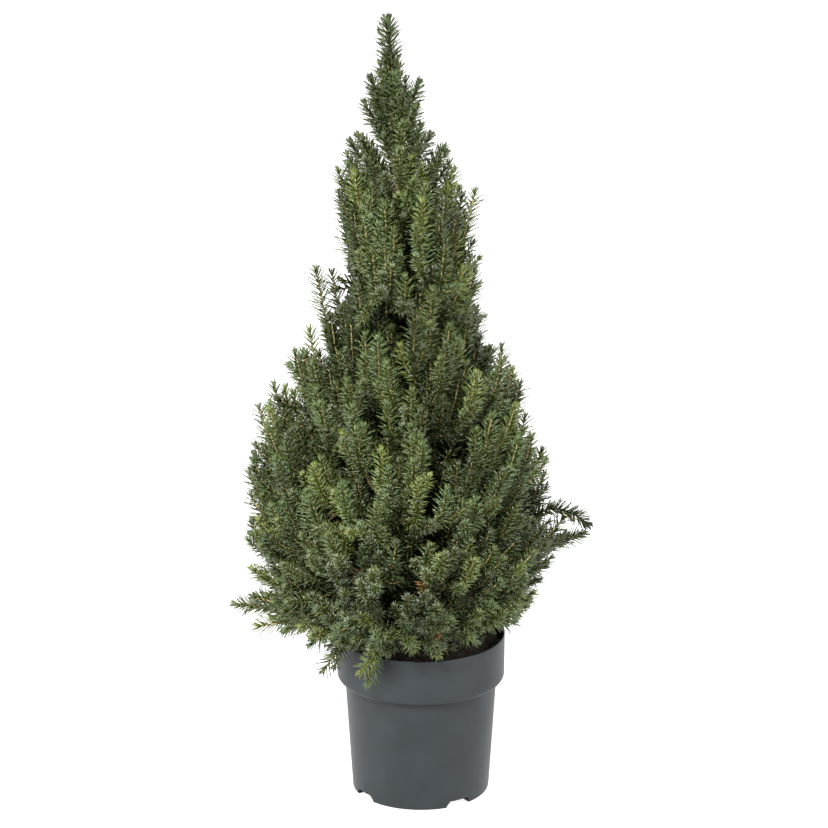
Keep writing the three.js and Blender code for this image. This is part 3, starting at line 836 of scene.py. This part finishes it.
def needle_frames(shoot):
    """Foot, direction, sideways, length and width of each needle of a shoot, its tuft last."""
    path = shoot["path"]
    way = way_along(path)
    count, tuft = needle_count(shoot), NEEDLE["tuft"]
    rng = np.random.default_rng(shoot["number"] + SEED)
    share = (np.arange(count) + play(rng, BRUSH["place_play"], count)) / (count - tuft)
    share = np.clip(share, 0, BRUSH["last"])
    at = share * way[-1]
    at[-tuft:] = way[-1] - rng.uniform(0.0, BRUSH["tuft_length"], tuft)
    closing = smoothstep(way[-1] - at, 0, BRUSH["closing"])
    foot = read_at(at, way, path)
    along = unit(read_at(at, way, np.gradient(path, axis=0)))
    across = unit(np.cross(along, ASLANT))
    over = np.cross(along, across)
    turn = np.arange(count) * GOLDEN_ANGLE + play(rng, BRUSH["turn_play"], count)
    out = across * np.cos(turn)[:, None] + over * np.sin(turn)[:, None]
    lean = lerp(BRUSH["tip_lean"], BRUSH["lean"], closing) + play(rng, BRUSH["lean_play"], count)
    lean[-tuft:] = BRUSH["tip_lean"] * np.sqrt(rng.uniform(*BRUSH["tuft_spread"], tuft))
    lean = np.radians(lean)
    direction = along * np.cos(lean)[:, None] + out * np.sin(lean)[:, None]
    direction[:, 2] += BRUSH["rise"] * (1 - np.abs(along[:, 2]))
    direction = unit(direction)
    sideways = unit(np.cross(direction, along))
    size = rng.uniform(*NEEDLE["sizes"], count)
    size *= lerp(BRUSH["foot_size"], 1.0, smoothstep(share, 0, BRUSH["foot_share"]))
    size *= lerp(BRUSH["tip_size"], 1.0, closing) * shoot["size"]
    width = np.full(count, NEEDLE["width"] * lerp(1, COARSE["width"], coarseness(shoot)))
    return foot, direction, sideways, NEEDLE["length"] * size, width


def needle_mesh(shoots):
    """Vertices and triangles of every needle on some shoots, each a closed wedge."""
    parts = [needle_frames(shoot) for shoot in shoots]
    foot, direction, sideways, length, width = (np.concatenate(rows) for rows in zip(*parts))
    upward = np.cross(direction, sideways)
    end = foot + direction * length[:, None]
    corners = []
    for turn in FOOT_TURNS:
        corners.append(foot + (sideways * math.cos(turn) + upward * math.sin(turn)) * width[:, None] / 2)
    for side in (1, -1):
        corners.append(end + side * upward * (width * NEEDLE["tip"] / 2)[:, None])
    vertices = np.stack(corners, axis=1)
    start = np.arange(len(foot)) * WEDGE_CORNERS
    return vertices.reshape(-1, 3), (WEDGE[None] + start[:, None, None]).reshape(-1, 3)


# ---- materials

def srgb(red, green, blue):
    """Linear colour from 0 to 255 display values."""
    values = [c / 255 for c in (red, green, blue)]
    return tuple(c / 12.92 if c <= 0.04045 else ((c + 0.055) / 1.055) ** 2.4 for c in values) + (1.0,)


# Plain greens dealt out by lightness: the deep and shade greens are darker copies for shoots inside and low
# in the crown, partly painted shade; the lightest is fresh growth and painted light on the outermost shoots.
NEEDLE_COLORS = {
    "deep": srgb(28, 37, 8),
    "shade": srgb(40, 50, 13),
    "mid": srgb(55, 67, 22),
    "blue": srgb(58, 73, 32),
    "fresh_and_lit": srgb(76, 87, 32),
    "dry": srgb(96, 68, 34),
}
NEEDLE_ROUGHNESS = 0.32
NEEDLE_GLOSS = {"deep": 0.25, "dry": 0.25}
FRESH_GLOSS = 0.55  # of the other greens
PATCHES = (0.35, 0.68)  # the noise at which the dark colour ends and the light one is full


def new_material(name, color, roughness, specular=0.5):
    material = bpy.data.materials.new(name)
    material.use_nodes = True
    shader = material.node_tree.nodes["Principled BSDF"]
    shader.inputs["Base Color"].default_value = color
    shader.inputs["Roughness"].default_value = roughness
    shader.inputs["Specular IOR Level"].default_value = specular
    return material, material.node_tree, shader


def add_noise(tree, scale, detail):
    """Noise over the piece's own coordinates."""
    place = tree.nodes.new("ShaderNodeTexCoord")
    texture = tree.nodes.new("ShaderNodeTexNoise")
    texture.inputs["Scale"].default_value = scale
    texture.inputs["Detail"].default_value = detail
    tree.links.new(place.outputs["Object"], texture.inputs["Vector"])
    return texture.outputs["Fac"]


def mottled(tree, shader, scale, dark, light):
    """Colours a surface by noise between two colours."""
    ramp = tree.nodes.new("ShaderNodeValToRGB")
    for element, position, color in zip(ramp.color_ramp.elements, PATCHES, (dark, light)):
        element.position = position
        element.color = color
    tree.links.new(add_noise(tree, scale, detail=6.0), ramp.inputs["Fac"])
    tree.links.new(ramp.outputs["Color"], shader.inputs["Base Color"])


def bumped(tree, shader, scale, strength, distance):
    """Roughens a surface's shading by noise."""
    bump = tree.nodes.new("ShaderNodeBump")
    bump.inputs["Strength"].default_value = strength
    bump.inputs["Distance"].default_value = distance
    tree.links.new(add_noise(tree, scale, detail=4.0), bump.inputs["Height"])
    tree.links.new(bump.outputs["Normal"], shader.inputs["Normal"])


def pot_material():
    material, tree, shader = new_material("pot_plastic", srgb(27, 31, 34), roughness=0.46, specular=0.24)
    mottled(tree, shader, scale=26.0, dark=srgb(25, 29, 32), light=srgb(29, 34, 37))
    bumped(tree, shader, scale=900.0, strength=0.12, distance=0.0004)
    return material


def soil_material():
    material, tree, shader = new_material("potting_soil", srgb(38, 28, 20), roughness=0.95)
    mottled(tree, shader, scale=240.0, dark=srgb(16, 12, 9), light=srgb(62, 46, 32))
    bumped(tree, shader, scale=700.0, strength=0.8, distance=0.0015)
    return material


def bark_material():
    material, tree, shader = new_material("bark", srgb(92, 70, 50), roughness=0.9)
    mottled(tree, shader, scale=160.0, dark=srgb(58, 43, 31), light=srgb(124, 97, 70))
    bumped(tree, shader, scale=500.0, strength=0.7, distance=0.001)
    return material


def twig_material():
    material, tree, shader = new_material("young_twig", srgb(146, 132, 82), roughness=0.7)
    mottled(tree, shader, scale=420.0, dark=srgb(88, 76, 42), light=srgb(178, 162, 106))
    return material


def needle_material(tint):
    gloss = NEEDLE_GLOSS.get(tint, FRESH_GLOSS)
    return new_material("needles_" + tint, NEEDLE_COLORS[tint], NEEDLE_ROUGHNESS, gloss)[0]


def tint_of(shoot):
    """Which green a shoot gets: the deeper in the crown, the darker, partly older needles and partly painted
    shade.
    """
    luck = chance(shoot["number"], EVENT["tint"])
    if shoot["tier"] < DRY["tiers"] and shoot["depth"] < DRY["depth"] and luck > DRY["luck"]:
        return "dry"
    light = (shoot["depth"] - LIGHTNESS["start"]) / LIGHTNESS["span"] + LIGHTNESS["luck"] * (luck - 0.5)
    # painted shade: each tier's greens are dealt out darker, the skirt's lighter, for how the light falls on
    # it
    light -= TIERS[shoot["tier"]]["shade"] if shoot["tier"] < len(TIERS) else LEADER["shade"]
    for tint, limit in NEEDLE_LIGHT.items():
        if light < limit:
            return tint
    return "blue" if chance(shoot["number"], EVENT["green"]) < BLUE_SHARE else "fresh_and_lit"


# ---- the plant's pieces

def batches_of(shoots):
    """The shoots in runs that keep to the limit for one mesh."""
    batches, size = [], PIECE_LIMIT
    for shoot in shoots:
        triangles = len(WEDGE) * needle_count(shoot)
        if size + triangles > PIECE_LIMIT:
            batches.append([])
            size = 0
        batches[-1].append(shoot)
        size += triangles
    return batches


def add_needles(shoots):
    """Needles joined by tint. The first mesh stands for all the masses of foliage."""
    stood_for = nodes_named("foliage_")
    for tint in NEEDLE_COLORS:
        material = needle_material(tint)
        group = [shoot for shoot in shoots if tint_of(shoot) == tint]
        for number, batch in enumerate(batches_of(group), start=1):
            vertices, triangles = needle_mesh(batch)
            piece = new_mesh(f"needles_{tint}_{number}", vertices, [triangles], material, smooth=False)
            put(piece, "needles", *stood_for)
            stood_for = []


def add_twigs(twigs):
    paths = np.stack([resampled(twig["path"], TWIG_POINTS) for twig in twigs])
    radii = np.stack([np.linspace(*twig["radius"], TWIG_POINTS) for twig in twigs])
    sideways = level_sideways([twig["azimuth"] for twig in twigs])
    vertices, faces = tubes(paths, radii, TWIG_SIDES, sideways)
    put(new_mesh("twigs", vertices, faces, twig_material()), "bark")


def roughened(points, centres, radii, relief):
    """Moves a limb's points out and in by the bark's relief."""
    first = [noise.noise(Vector(point)) for point in points * relief["fineness"]]
    second = [noise.noise(Vector(point)) for point in points * relief["fineness"] * RELIEF["octave"]]
    depth = np.array(first) + RELIEF["second"] * np.array(second)
    share = np.minimum(radii / RELIEF["full"], 1)
    return points + unit(points - centres) * (depth * relief["depth"] * share)[:, None]


def limb_mesh(name, paths, radii, sides, sideways, relief, material):
    """Closed limbs along paths of equal point counts, with bark's relief on their sides."""
    vertices, faces = tubes(paths, radii, sides, sideways)
    each = len(vertices) // len(paths)
    for limb, (path, thickness) in enumerate(zip(paths, radii)):
        part = slice(limb * each, limb * each + len(path) * sides)
        centres = np.repeat(path, sides, axis=0)
        vertices[part] = roughened(vertices[part], centres, np.repeat(thickness, sides), RELIEF[relief])
    return new_mesh(name, vertices, faces, material)


def add_trunk(material):
    along = np.linspace(0, 1, TRUNK["rings"]) ** TRUNK["crowding"]
    z = lerp(SOIL_TOP - TRUNK["sunk"], TRUNK["tip"] - TRUNK["short"], along)
    x, y = axis_at(z)
    share = np.clip((z - SOIL_TOP) / (TRUNK["tip"] - SOIL_TOP), 0, 1)
    flare = TRUNK["flare"] * np.exp(-np.maximum(z - SOIL_TOP, 0) / TRUNK["flare_height"])
    radii = lerp(TRUNK["foot"], TRUNK["end"], share) + flare
    path, sides = np.stack([x, y, z], axis=-1), TRUNK["sides"]
    trunk = limb_mesh("trunk_bark", path[None], radii[None], sides, level_sideways([0.0]), "trunk", material)
    put(trunk, "bark", "trunk")


def add_boughs(material):
    """The main boughs, from inside the trunk into their masses of foliage."""
    paths, radii, azimuths = [], [], []
    for mass in all_masses():
        paths.append(along_stem(mass, BOUGH["root"], mass["entry"] + BOUGH["overlap"], BOUGH["rings"]))
        base = BOUGH["radius"] * lerp(*BOUGH["stoutness"], mass["reach"] / BOUGH["longest"])
        radii.append(np.linspace(base * BOUGH["collar"], base * BOUGH["tip"], BOUGH["rings"]))
        azimuths.append(mass["azimuth"])
    paths, radii, sideways = np.stack(paths), np.stack(radii), level_sideways(azimuths)
    boughs = limb_mesh("bough_bark", paths, radii, BOUGH["sides"], sideways, "bough", material)
    put(boughs, "bark", *nodes_named("bough_"))


# ---- pot and soil

def body_radius(z):
    return POT["foot"] + POT["taper"] * z


def arc(r, z, radius, start, end, steps):
    """Points on a circle round (r, z), between two angles in degrees."""
    angles = np.radians(np.linspace(start, end, steps))
    return [(r + radius * math.cos(a), z + radius * math.sin(a)) for a in angles]


def pot_profile():
    """The wall's outline from the middle of the underside, up outside, over the rim and down inside."""
    rim, height, wall, floor = POT["rim"], POT["height"], POT["wall"], POT["floor"]
    foot, groove = MOULDING["foot_round"], MOULDING["groove_height"]
    edge, lip = MOULDING["edge"], MOULDING["rim_round"]
    collar = height - POT["collar"]
    collar_foot = rim - MOULDING["collar_taper"]
    profile = [(0, 0), (MOULDING["underside"], 0)]
    profile += arc(POT["foot"] - foot, foot, foot, -90, 0, steps=8)
    profile += [(body_radius(z), z) for z in np.linspace(MOULDING["body_start"], collar - groove, 14)]
    profile += arc(body_radius(collar), collar - groove / 2, MOULDING["groove_depth"], 225, 135, steps=5)
    profile += [(body_radius(collar) + MOULDING["groove_lip"], collar)]
    profile += arc(collar_foot - edge, collar + edge, edge, -90, 0, steps=10)
    up = np.linspace(0.1, 1, 8)
    profile += [(lerp(collar_foot, rim, share), lerp(collar + edge, height - lip, share)) for share in up]
    profile += arc(rim - lip, height - lip, lip, 0, 180, steps=10)
    profile += [(rim - wall - MOULDING["inside_taper"], collar + MOULDING["inside_rise"] + wall)]
    profile += [(body_radius(collar) - wall, collar + wall)]
    profile += [(body_radius(floor) - wall, floor), (0, floor)]
    return profile


def notch_cutter(azimuth):
    """A block that cuts one notch, at an azimuth."""
    low, high = NOTCH["width"] / 2, NOTCH["width"] / 2 - NOTCH["slope"]
    under, upright, top = -NOTCH["under"], NOTCH["upright"], NOTCH["height"]
    section = [(-low, under), (low, under), (low, upright), (high, top), (-high, top), (-low, upright)]
    count = len(section)
    reach = (POT["foot"] - NOTCH["depth"], POT["foot"] + NOTCH["beyond"])
    vertices = [(*turned(r, y, azimuth), z) for r in reach for y, z in section]
    sides = [(k, (k + 1) % count, (k + 1) % count + count, k + count) for k in range(count)]
    ends = [tuple(range(count))[::-1], tuple(range(count, 2 * count))]
    mesh = bpy.data.meshes.new("notch")
    mesh.from_pydata(vertices, [], sides + ends)
    return new_object("notch", mesh)


def cut_away(piece, cutter):
    """Cuts a piece by another, which is then removed."""
    cut = piece.modifiers.new("notch", "BOOLEAN")
    cut.object = cutter
    cut.operation = "DIFFERENCE"
    cut.solver = "EXACT"
    bpy.context.view_layer.update()
    solid = bpy.data.meshes.new_from_object(piece.evaluated_get(bpy.context.evaluated_depsgraph_get()))
    piece.modifiers.clear()
    piece.data = solid
    bpy.data.objects.remove(cutter)


def add_pot():
    pot = new_mesh("pot_shell", *lathe(pot_profile(), MOULDING["segments"]), pot_material())
    for i in range(NOTCH["count"]):
        cut_away(pot, notch_cutter(math.radians(NOTCH["first"] + 360 * i / NOTCH["count"])))
    pot.data.shade_smooth()
    pot.data.set_sharp_from_angle(angle=math.radians(MOULDING["sharp"]))
    put(pot, "pot", "pot")


def soil_height(x, y):
    lumps = sum(noise.noise(Vector((x * fine, y * fine, layer))) * height for fine, layer, height in LUMPS)
    return SOIL_TOP + lumps - SOIL["settled"]


def soil_profile(outer):
    """The root ball's outline from the middle of its underside to that of its top."""
    collar = POT["height"] - POT["collar"]
    low, high = SOIL["widening"]
    chamfer_radius, collar_radius = (
        body_radius(z) - POT["wall"] - SOIL["play"] for z in (SOIL["chamfer"], collar)
    )
    profile = [(0, SOIL["underside"]), (SOIL["foot"], SOIL["underside"])]
    profile += [(chamfer_radius, SOIL["chamfer"]), (collar_radius, collar + low), (outer, collar + high)]
    profile += [(r, SOIL_TOP) for r in outer * np.linspace(1, 0, SOIL["rings"], endpoint=False)]
    return profile + [(0, SOIL_TOP)]


def add_soil():
    """The crumbly top of the root ball, over a plain plug that fills the pot."""
    outer = POT["rim"] - POT["wall"] - SOIL["collar_play"]
    vertices, faces = lathe(soil_profile(outer), SOIL["segments"])
    surface = vertices[:, 2] == SOIL_TOP
    vertices[surface, 2] = [soil_height(x, y) for x, y, _ in vertices[surface]]
    material = soil_material()
    put(new_mesh("soil_bed", vertices, faces, material), "soil", "soil")
    add_crumbs(outer - CRUMB["margin"], material)


def add_crumbs(outer, material):
    """Clods, bark chips and grit strewn on the soil."""
    rng = np.random.default_rng(SEED)
    shape = np.array([[1, 0, 0], [-1, 0, 0], [0, 1, 0], [0, -1, 0], [0, 0, 1], [0, 0, -1]], float)
    top = [[0, 2, 4], [2, 1, 4], [1, 3, 4], [3, 0, 4]]
    bottom = [[2, 0, 5], [1, 2, 5], [3, 1, 5], [0, 3, 5]]
    corners = np.array(top + bottom)
    vertices, faces = [], []
    for i in range(CRUMB["count"]):
        r, turn = outer * math.sqrt(rng.uniform()), rng.uniform(0, 2 * math.pi)
        x, y = r * math.cos(turn), r * math.sin(turn)
        length = rng.uniform(*CRUMB["length"])
        size = length * np.array([1, rng.uniform(*CRUMB["width"]), rng.uniform(*CRUMB["height"])])
        spin = rng.uniform(0, math.pi)
        clod = shape * size * rng.uniform(*CRUMB["roughness"], (len(shape), 1))
        clod = np.stack([*turned(clod[:, 0], clod[:, 1], spin), clod[:, 2]], axis=-1)
        vertices.append(clod + [x, y, soil_height(x, y) + size[2] * CRUMB["sit"]])
        faces.append(corners + len(shape) * i)
    vertices, faces = np.concatenate(vertices), np.concatenate(faces)
    put(new_mesh("soil_crumbs", vertices, [faces], material, smooth=False), "soil")


# ---- stage, light and camera

def add_floor():
    material, _, shader = new_material("floor", FLOOR["color"], FLOOR["roughness"])
    shader.inputs["Emission Color"].default_value = WHITE
    shader.inputs["Emission Strength"].default_value = FLOOR["glow"]
    side = FLOOR["half_side"]
    mesh = bpy.data.meshes.new("floor")
    corners = [(-side, -side, 0), (side, -side, 0), (side, side, 0), (-side, side, 0)]
    mesh.from_pydata(corners, [], [(0, 1, 2, 3)])
    mesh.materials.append(material)
    new_object("floor", mesh)


def add_light(name, place, target, size, power):
    data = bpy.data.lights.new(name, "AREA")
    data.shape = "RECTANGLE"
    data.size, data.size_y = size
    data.energy = power
    light = new_object(name, data)
    light.location = place
    light.rotation_euler = (Vector(target) - Vector(place)).to_track_quat("-Z", "Y").to_euler()


def add_lights():
    for name, settings in LIGHTS.items():
        add_light(name, *settings)
    world = bpy.data.worlds.new("studio")
    world.use_nodes = True
    background = world.node_tree.nodes["Background"]
    background.inputs["Color"].default_value = WHITE
    background.inputs["Strength"].default_value = WORLD_LIGHT
    bpy.context.scene.world = world


def add_camera():
    data = bpy.data.cameras.new("camera")
    data.lens = CAMERA["focal"] / CAMERA["frame"] * CAMERA["sensor"]
    data.sensor_width = CAMERA["sensor"]
    data.clip_end = CAMERA["far"]
    camera = new_object("camera", data)
    camera.location = CAMERA["place"]
    camera.rotation_euler = (math.radians(90 - CAMERA["down"]), 0, 0)
    bpy.context.scene.camera = camera


add_camera()
add_lights()
add_floor()
add_pot()
add_soil()
bark = bark_material()
add_trunk(bark)
add_boughs(bark)
twigs, shoots = grow_crown()
add_twigs(twigs)
add_needles(shoots)
bpy.context.scene.view_settings.view_transform = "Standard"
